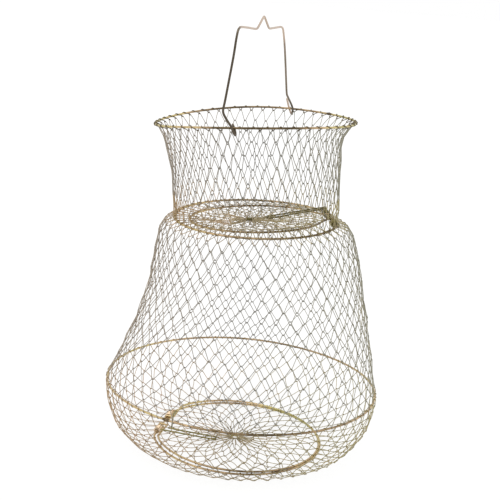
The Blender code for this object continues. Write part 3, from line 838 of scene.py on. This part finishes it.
def rim_lacing():
    """The wire that winds along the rim: a small loop hangs from the ring at each knot, then the wire goes over the ring to the next."""
    p, east, down, out = collar_held[0][0]
    theta = collar_held[0][1]
    over = RING_R + NET_R + 0.16
    path, tarnish = [], []
    pitch = 2 * math.pi / LOOPS

    def on_ring(angle, psi):
        c = RIM.at(np.array([angle]))[0]
        e = RIM.tangent(np.array([angle]))[0]
        d = -np.array(RIM.where, float)[:3, 2]
        n = np.cross(d, e)
        if n @ (c - np.array(RIM_C)) < 0:
            n = -n
        return c + over * (math.sin(psi) * n - math.cos(psi) * d)

    for k in range(LOOPS):
        t = theta[k]
        width = 1.9
        bottom = p[k] + down[k] * (HOOK / 2)
        # outer leg comes down on the west side, inner leg goes up on the east side
        west = t - 2.3 / RIM_R
        path.append(on_ring(west, math.radians(112.0)))
        tarnish.append(0.6)
        for a, depth in ((-1.0, 2.0), (-0.86, 0.85), (-0.5, 0.18), (0.0, 0.0), (0.5, 0.18), (0.86, 0.85), (1.0, 2.0)):
            path.append(bottom + east[k] * width * 0.62 * a - down[k] * depth * 0.9 + out[k] * (-a) * LIFT)
            tarnish.append(1.0 if abs(a) < 0.9 else 0.6)
        path.append(on_ring(t + 2.3 / RIM_R, math.radians(-112.0)))
        tarnish.append(0.5)
        # over the top of the ring to the next loop
        for share in (0.14, 0.30, 0.42, 0.5, 0.58, 0.70, 0.86):
            ease = min(1.0, max(0.0, (share - 0.22) / 0.56))
            ease = ease * ease * (3 - 2 * ease)
            angle = t + 2.3 / RIM_R + (pitch - 4.6 / RIM_R) * share
            path.append(on_ring(angle, math.radians(-112.0 + 224.0 * ease)))
            tarnish.append(0.25)
    wires = Wires()
    wires.add(np.array(path), NET_R + 0.07, 6, True, np.array(tarnish))
    return wires


lacing = rim_lacing().build("rim_lacing_wire", LACING_METAL)
finish_piece(lacing, "rim", "net_wire")


# ------------------------------------------------------------------ doors

EYE_R, EYE_T = 3.0, 13.0
EYELET_R, EYELET_WIRE_R = 4.4, 0.9
COIL_R = 3.6
ARM_GAP = 8.0


def door(
    prefix, body, ring_frame, azimuth, distance, height, radius, slope, roll, leave, corner, coils, splay, turn_x, tip,
    hub, hand, above, pitch, loops, sag, ripple, rows, seed, table, coil_tone, arm_tone,
):
    place = hinge_frame(ring_frame, azimuth, distance, height)
    fall, rise = math.tan(math.radians(slope)), math.tan(math.radians(roll))

    def on_plane(x, y, lift=0.0):
        return np.array([x, y, EYE_R - x * fall + y * rise + lift])

    eye = [np.array([-EYE_R * math.sin(math.radians(a)), 0.0, EYE_R * math.cos(math.radians(a))]) for a in range(262, -1, -12)]
    round_part = [
        on_plane(distance - radius * math.cos(math.radians(a)), radius * math.sin(math.radians(a)))
        for a in [leave + (360.0 - 2 * leave) * i / 160 for i in range(161)]
    ]
    side = np.array([0.0, EYE_T, 0.0])
    # the leg bends out of the eye and into the round part without corners
    first = [p + side for p in eye]
    last = [p * [1, -1, 1] for p in first]

    def leg(eye_end, y_sign, joins):
        """From the eye, round the corner and along the bar, and round a second bend into the round part."""
        bend, stop = on_plane(corner[0], y_sign * corner[1]), joins[0]
        along = unit(stop - bend)
        bar = np.linalg.norm(stop - bend)
        knots = [eye_end[-2], eye_end[-1], bend, bend + along * min(5.0, 0.4 * bar), stop - along * min(5.0, 0.4 * bar)]
        return smooth_route(knots + [joins[3], joins[6]], 8)[8:41]

    lead = leg(first, 1.0, round_part)
    tail = leg(last, -1.0, round_part[::-1])
    path = first[:-1] + list(lead) + round_part[4:-4] + list(tail[::-1]) + last[:-1][::-1]
    wires = Wires()
    path = resample(into(place, path), 1.4)
    # the frame takes its ring's table: the plating's own tone with painted dark reflection and painted highlight
    wires.add(path, RING_R, 12, False, 0.1, around(path, np.array(place @ Vector((distance, 0.0, 0.0))), table))
    frame_wire = wires.build(prefix + "_door_frame_wire", RING_METAL)
    finish_piece(frame_wire, body, "ring_wire", prefix + "_door_ring")

    plane = (
        place
        @ Matrix.Translation(Vector(on_plane(distance, 0.0)))
        @ Matrix.Rotation(math.radians(slope), 4, "Y")
        @ Matrix.Rotation(math.radians(roll), 4, "X")
    )

    def outline(theta):
        theta = np.asarray(theta, float)
        reach = np.full_like(theta, radius)
        start = np.array([-radius * math.cos(math.radians(leave)), radius * math.sin(math.radians(leave))])
        stop = np.array([corner[0] - distance, corner[1]])
        run = stop - start
        off = unit(np.array([-run[1], run[0]]))
        if off @ start < 0:
            off = -off
        depth = off @ start
        for mirror in (1.0, -1.0):
            lean = off[0] * np.cos(theta) + mirror * off[1] * np.sin(theta)
            reach = np.where(lean > 1e-3, np.minimum(reach, depth / np.maximum(lean, 1e-3)), reach)
        reach = np.where(np.cos(theta) < -1e-3, np.minimum(reach, (distance - corner[0]) / np.maximum(-np.cos(theta), 1e-3)), reach)
        return reach

    disc = Disc(plane, outline, 6.4, hub, sag, ripple, seed)

    class Outline:
        """The door's own ring, seen as a ring for the loops that hang on it."""

        where = plane

        @staticmethod
        def at(theta):
            theta = np.asarray(theta, float)
            r = outline(theta)
            return into(plane, np.stack([r * np.cos(theta), r * np.sin(theta), np.zeros_like(r)], -1))

        @staticmethod
        def tangent(theta):
            return unit(Outline.at(theta + 2e-3) - Outline.at(theta - 2e-3))

    def ring_line(theta, nearby):
        p, east = Outline.at(theta), Outline.tangent(theta)
        down = unit(nearby - p)
        down = unit(down - east * (down * east).sum(-1, keepdims=True))
        return p, east, down, np.cross(down, east)

    lines = [0.0] + [disc.length * r for r in rows] + [disc.length]
    held = []
    for i, s in enumerate(lines):
        inner = 0.25 + 0.75 * (1 - s / disc.length)
        edge = i == 0 or i == len(lines) - 1
        values, theta = knots_on(disc, s, i, loops, 0.0 if edge else 2.1 * inner, seed, 0.0 if edge else 1.6 * inner)
        held.append((values, theta))
    held[0] = (ring_line(held[0][1], disc.at(np.full(loops, lines[1]), held[0][1])), held[0][1])
    whole = []
    for i in range(len(lines) - 1):
        upper, lower = held[i][0], held[i + 1][0]
        if i % 2 == 1:
            lower = tuple(np.roll(x, -1, 0) for x in lower)
        gap = 2 * math.pi * max(disc.hole, disc.length * (1 - lines[i + 1] / disc.length) + disc.hole) / loops
        wires = Wires()
        row(wires, upper, lower, "ring" if i == 0 else "knot", "knot", NET_R, seed * 100 + i, 6, min(BEND, 0.4 * gap), HOOK, min(LIFT, 0.5), 0.25 if i == len(lines) - 2 else 0.0, wave=0.6)
        whole.append(wires)
    netting = joined(whole).build(prefix + "_door_net_wires", NET_WARM)
    finish_piece(netting, body, "net_wire", prefix + "_door_net")

    # Eyelet: two turns of wire that gather the innermost bends.
    wires = Wires()
    turns = [
        np.array([EYELET_R * math.cos(a), EYELET_R * math.sin(a), 0.75 * math.sin(a * 0.5 + 0.3)])
        for a in np.linspace(0.0, 2 * math.pi * 2.05, 90)
    ]
    wires.add(into(plane, np.array(turns) + np.array(hub)), EYELET_WIRE_R * 0.8, 8, False, 0.1, 0.5 * (coil_tone + arm_tone))
    eyelet = wires.build(prefix + "_door_eyelet_wire", SPRING_METAL)
    finish_piece(eyelet, body, "spring_wire", prefix + "_door_eyelet")

    # Spring: coil, double arm out over the door and back, run along the hinge, second coil.
    up = 1.0 if above else -1.0
    (first_from, first_to), (second_from, second_to) = coils

    def coil(t_from, t_to, turn_from, turns):
        steps = int(round(abs(turns) * 22))
        found = []
        for i in range(steps + 1):
            a = math.radians(turn_from + 360.0 * turns * i / steps)
            y = t_from + (t_to - t_from) * i / steps
            found.append(np.array([COIL_R * math.sin(a), y, up * COIL_R * math.cos(a)]))
        return found

    first_turns = round(abs(first_to - first_from) / pitch)
    second_turns = round(abs(second_to - second_from) / pitch)
    tip_at = on_plane(tip[0], hand * tip[1], up * (0.5 + SPRING_R + 0.5) + 0.7 * hub[2])
    tip_at[1] = tip[1]
    toward = unit(np.array([tip[0], tip[1] - first_to, 0.0]))
    aside = np.array([toward[1], -toward[0], 0.0]) * ARM_GAP
    knee = np.array([7.0, first_to + splay, up * COIL_R + (1.9 if above else 0.0)])
    back = knee + (tip_at - knee) * (turn_x - knee[0]) / (tip_at[0] - knee[0]) + aside
    back[0] = turn_x
    start = coil(first_from, first_to, -90.0, first_turns + 0.25)
    end = coil(second_from, second_to, 0.0, -second_turns - 0.25)
    out_leg = smooth_route([start[-1], knee, tip_at - toward * 2.0], 10)[1:-1]
    bend = [tip_at - toward * 2.0 + toward * 2.0 * math.sin(a) + aside * 0.5 * (1 - math.cos(a)) for a in np.linspace(0, math.pi, 13)]
    turned = back + np.array([-0.5, -4.5, 0.0])
    back_leg = smooth_route([bend[-1], back, turned, np.array([7.0, min(turned[1] - 5.0, second_from + 14.0), knee[2]])], 8)[1:]
    cross = smooth_route([back_leg[-1], np.array([7.0, second_from + 5.0, knee[2]]), np.array([5.0, second_from + 1.2, knee[2]]), end[0]], 8)[1:-1]
    path = [np.array([-COIL_R, first_from, -up * 3.0])] + start + list(out_leg) + bend + list(back_leg) + list(cross) + end
    path.append(path[-1] + np.array([0.0, 0.0, -up * 3.0]))
    path = resample(np.array([[p[0], hand * p[1], p[2]] for p in path]), 0.9)
    wires = Wires()
    wires.add(into(place, path), SPRING_R, 8, False, 0.1, np.interp(path[:, 0], (4.0, 9.0), (coil_tone, arm_tone)))
    spring = wires.build(prefix + "_door_spring_wire", SPRING_METAL)
    finish_piece(spring, body, "spring_wire", prefix + "_door_spring")
    return place


top_place = door(
    "top", "top_door", tilted(NECK_C, NECK_TILT), TOP_AZ, chord(NECK_R, TOP_HALF), 0.0, TOP_DOOR_R, TOP_DOOR_SLOPE,
    TOP_DOOR_ROLL, 22.0, (6.0, 14.5), ((20.0, 34.0), (-18.0, -28.0)), -0.5, 8.0, (77.0, 4.0), (8.0, -3.0, -1.5), -1.0,
    True, 2.0, 34, -0.6, 0.9, (0.14, 0.29, 0.44, 0.58, 0.72, 0.85), 31, NECK_PLATING_AND_REFLECTION, 0.10, 0.05,
)
bottom_place = door(
    "bottom", "bottom_door", tilted((0.0, 0.0, 1.11)), BOTTOM_AZ, chord(BASE_R, BOTTOM_HALF), 3.3, 101.3, 1.15, 0.0,
    31.0, (8.0, 14.5), ((20.8, 28.8), (-28.8, -16.8)), 6.5, 17.0, (74.0, 28.0), (-2.5, -3.5, -3.4), -1.0, True, 2.0,
    31, 0.8, 0.9, (0.125, 0.26, 0.39, 0.52, 0.66, 0.82), 37, BASE_PLATING_AND_REFLECTION, 1.0, 0.22,
)


def skirt():
    """The row between the neck ring and the door's ring: it hangs on the neck ring, and the door closes up against its inner bends."""
    distance = chord(NECK_R, TOP_HALF)
    outer = tilted(NECK_C, NECK_TILT) @ Matrix.Rotation(math.radians(TOP_AZ), 4, "Z")
    lift = EYE_R - distance * math.tan(math.radians(TOP_DOOR_SLOPE)) + RING_R + 0.5 + 0.5
    seat = (
        outer
        @ Matrix.Translation((0.0, 0.0, lift))
        @ Matrix.Rotation(math.radians(-TOP_DOOR_SLOPE), 4, "Y")
        @ Matrix.Rotation(math.radians(-TOP_DOOR_ROLL), 4, "X")
    )
    loops = 42
    start, end = math.radians(35.0), math.radians(325.0)
    pitch = (end - start) / loops
    turn = math.radians(TOP_AZ)
    a = start + pitch * np.arange(loops)
    b = a + pitch / 2
    local = np.random.default_rng(77)
    b = b + local.normal(0, 0.25, loops) * pitch * 0.4
    reach = TOP_DOOR_R - 2.2 + local.normal(0, 0.4, loops)
    inner = np.stack([reach * np.cos(b), reach * np.sin(b), np.zeros(loops)], -1)
    inner = into(seat, inner)
    p = NECK.at(a + turn)
    east = NECK.tangent(a + turn)
    near = into(seat, np.stack([(TOP_DOOR_R - 2.0) * np.cos(a), (TOP_DOOR_R - 2.0) * np.sin(a), np.zeros(loops)], -1))
    down = unit(near - p)
    down = unit(down - east * (down * east).sum(-1, keepdims=True))
    upper = (p, east, down, np.cross(down, east))
    eb = unit(np.stack([-np.sin(b + turn), np.cos(b + turn), np.zeros(loops)], -1))
    db = unit(inner - into(seat, np.stack([90.0 * np.cos(b), 90.0 * np.sin(b), np.zeros(loops)], -1)))
    db = unit(db - eb * (db * eb).sum(-1, keepdims=True))
    lower = (inner, eb, db, np.cross(db, eb))
    wires = Wires()
    row(wires, upper, lower, "ring", "knot", NET_R, 555, 6, 1.3, 0.0, 0.15, 0.0, closed=False)
    # a second wire runs through the inner bends and holds them together
    turns = np.linspace(start, end, 220)
    hoop = into(seat, np.stack([(TOP_DOOR_R - 1.1) * np.cos(turns), (TOP_DOOR_R - 1.1) * np.sin(turns), 0.55 + 0.25 * np.sin(np.linspace(0, loops * 6.28, 220))], -1))
    wires.add(hoop, NET_R, 6, False, 0.3)
    return wires


skirt_wires = skirt().build("neck_skirt_net_wires", NET_WARM)
finish_piece(skirt_wires, "neck", "net_wire", "neck_skirt_net")


# ------------------------------------------------------------------ bail

def bail():
    rim_frame = tilted(RIM_C, RIM_TILT)
    ends = []
    for azimuth in (-99.6, 68.0):
        a = math.radians(azimuth)
        ends.append(rim_frame @ Vector((RIM_R * math.cos(a), RIM_R * math.sin(a), -RIM_SADDLE * math.cos(2 * a))))
    front, back = ends
    along = (back - front).normalized()
    up = (Vector((0.0, 0.0, 1.0)) - along * along.z).normalized()
    across = up.cross(along)
    place = Matrix.Translation(front) @ Matrix(
        (
            (along.x, across.x, up.x, 0.0),
            (along.y, across.y, up.y, 0.0),
            (along.z, across.z, up.z, 0.0),
            (0.0, 0.0, 0.0, 1.0),
        )
    )
    span = (back - front).length
    # (distance along the axis from the front hook, sideways, height), front to back
    knots = [(4.8, 4.6, 2.6), (5.0, 2.2, -2.4), (3.2, 0.4, -6.4), (0.3, -0.4, -7.6), (-2.9, 0.6, -4.9), (-5.0, 3.0, 1.3)]
    knots += [(-7.6, 7.8, 8.6), (-9.0, 11.6, 15.6), (-8.4, 11.6, 22.0), (-7.0, 10.8, 30.6), (-1.0, 7.7, 71.3)]
    knots += [(1.6, 6.8, 90.0), (3.2, 6.2, 98.2), (7.0, 6.2, 101.1), (14.0, 6.3, 102.4), (41.0, 6.2, 101.2)]
    knots += [(62.0, 6.1, 99.8), (70.0, 6.1, 99.9), (76.0, 6.2, 102.0), (92.0, 6.8, 110.4), (97.5, 6.9, 112.4)]
    knots += [(102.5, 6.8, 109.8), (114.0, 6.2, 101.6), (119.0, 6.1, 99.4), (127.0, 6.1, 99.2), (146.5, 6.1, 99.8)]
    knots += [(167.2, 6.1, 100.2), (176.0, 6.0, 98.4), (179.7, 5.8, 94.0), (186.4, 4.8, 78.9), (193.5, 3.4, 55.1)]
    knots += [(span - x, y, z) for x, y, z in ((28.6, 1.9, 31.0), (24.0, 1.6, 20.3), (20.5, 0.7, 15.9), (7.5, -1.4, 5.4))]
    knots += [(span - x, y, z) for x, y, z in ((4.9, -2.6, 0.4), (3.8, -2.4, -4.0), (0.4, -1.0, -7.0), (-3.8, 1.6, -5.6))]
    knots += [(span - x, y, z) for x, y, z in ((-5.8, 4.6, -0.6), (-5.4, 6.4, 4.6), (-4.6, 8.2, 10.8))]
    path = resample(into(place, smooth_route(knots, 12)), 1.5)
    count = len(path)
    run = np.linspace(0, 1, count)
    worn = np.clip(1.0 - run / 0.05, 0, 1) + np.clip((run - 0.95) / 0.05, 0, 1)
    wires = Wires()
    # dark front leg, coppery top, grey-brown back leg, dark back hook with a bright end
    tone = np.interp(run, (0.0, 0.03, 0.06, 0.26, 0.285, 0.30, 0.70, 0.73, 0.78, 0.88, 0.91, 0.945, 0.96, 1.0), (0.42, 0.22, 0.08, 0.08, 0.40, 0.88, 0.88, 0.62, 0.50, 0.50, 0.22, 0.25, 0.90, 1.0))
    wires.add(path, BAIL_R, 14, False, np.clip(worn, 0, 1) * 0.2, tone)
    return wires


bail_wire = bail().build("bail_handle_wire", BAIL_METAL)
finish_piece(bail_wire, "bail", "bail_wire", "bail_handle")


# ------------------------------------------------------------------ stage, light and camera

def pale(name, colour, roughness, glow):
    made = bpy.data.materials.new(name)
    made.use_nodes = True
    nodes, links = made.node_tree.nodes, made.node_tree.links
    shader = nodes["Principled BSDF"]
    shader.inputs["Roughness"].default_value = roughness
    shader.inputs["Specular IOR Level"].default_value = 0.1
    shader.inputs["Emission Color"].default_value = (1.0, 1.0, 1.0, 1.0)
    shader.inputs["Emission Strength"].default_value = glow
    noise = nodes.new("ShaderNodeTexNoise")
    noise.inputs["Scale"].default_value = 3.0
    ramp = nodes.new("ShaderNodeValToRGB")
    ramp.color_ramp.elements[0].color = (*[c * 0.985 for c in colour], 1.0)
    ramp.color_ramp.elements[1].color = (*colour, 1.0)
    place = nodes.new("ShaderNodeTexCoord")
    links.new(place.outputs["Object"], noise.inputs["Vector"])
    links.new(noise.outputs["Fac"], ramp.inputs["Fac"])
    links.new(ramp.outputs["Color"], shader.inputs["Base Color"])
    return made


bpy.ops.mesh.primitive_circle_add(vertices=96, radius=40.0, fill_type="NGON", location=(0.0, 0.0, -0.0001))
floor = bpy.context.active_object
floor.name = "studio_floor"
floor.data.materials.append(pale("studio_pale", (0.19, 0.19, 0.189), 0.9, 0.79))

world = bpy.data.worlds.new("studio")
bpy.context.scene.world = world
world.use_nodes = True
world.node_tree.nodes["Background"].inputs["Color"].default_value = (1.0, 1.0, 1.0, 1.0)
world.node_tree.nodes["Background"].inputs["Strength"].default_value = 1.0


def sun(name, azimuth, elevation, strength, spread, colour=(1.0, 1.0, 1.0)):
    data = bpy.data.lights.new(name, "SUN")
    data.energy = strength
    data.angle = math.radians(spread)
    data.color = colour
    obj = bpy.data.objects.new(name, data)
    bpy.context.scene.collection.objects.link(obj)
    a, e = math.radians(azimuth), math.radians(elevation)
    toward = Vector((math.cos(e) * math.cos(a), math.cos(e) * math.sin(a), math.sin(e)))
    obj.rotation_mode = "QUATERNION"
    obj.rotation_quaternion = toward.to_track_quat("Z", "Y")
    return obj


sun("key", -125.0, 58.0, 1.1, 50.0, (1.0, 0.985, 0.96))
sun("fill", -20.0, 40.0, 0.35, 80.0, (0.96, 0.98, 1.0))

camera_data = bpy.data.cameras.new("camera")
camera_data.lens = 74.095
camera_data.sensor_width = 36.0
camera_data.sensor_fit = "HORIZONTAL"
camera_data.clip_end = 200.0
camera = bpy.data.objects.new("camera", camera_data)
bpy.context.scene.collection.objects.link(camera)
yaw, pitch, roll = -0.002417, 0.249124, 0.0823518
forward = Vector((math.sin(yaw) * math.cos(pitch), math.cos(yaw) * math.cos(pitch), -math.sin(pitch)))
right = forward.cross(Vector((0.0, 0.0, 1.0))).normalized()
above = right.cross(forward)
x_axis = right * math.cos(roll) + above * math.sin(roll)
y_axis = above * math.cos(roll) - right * math.sin(roll)
camera.matrix_world = Matrix(
    (
        (x_axis.x, y_axis.x, -forward.x, 0.0),
        (x_axis.y, y_axis.y, -forward.y, -1.18193),
        (x_axis.z, y_axis.z, -forward.z, 0.54182),
        (0.0, 0.0, 0.0, 1.0),
    )
)
bpy.context.scene.camera = camera

bpy.context.scene.view_settings.view_transform = "Standard"
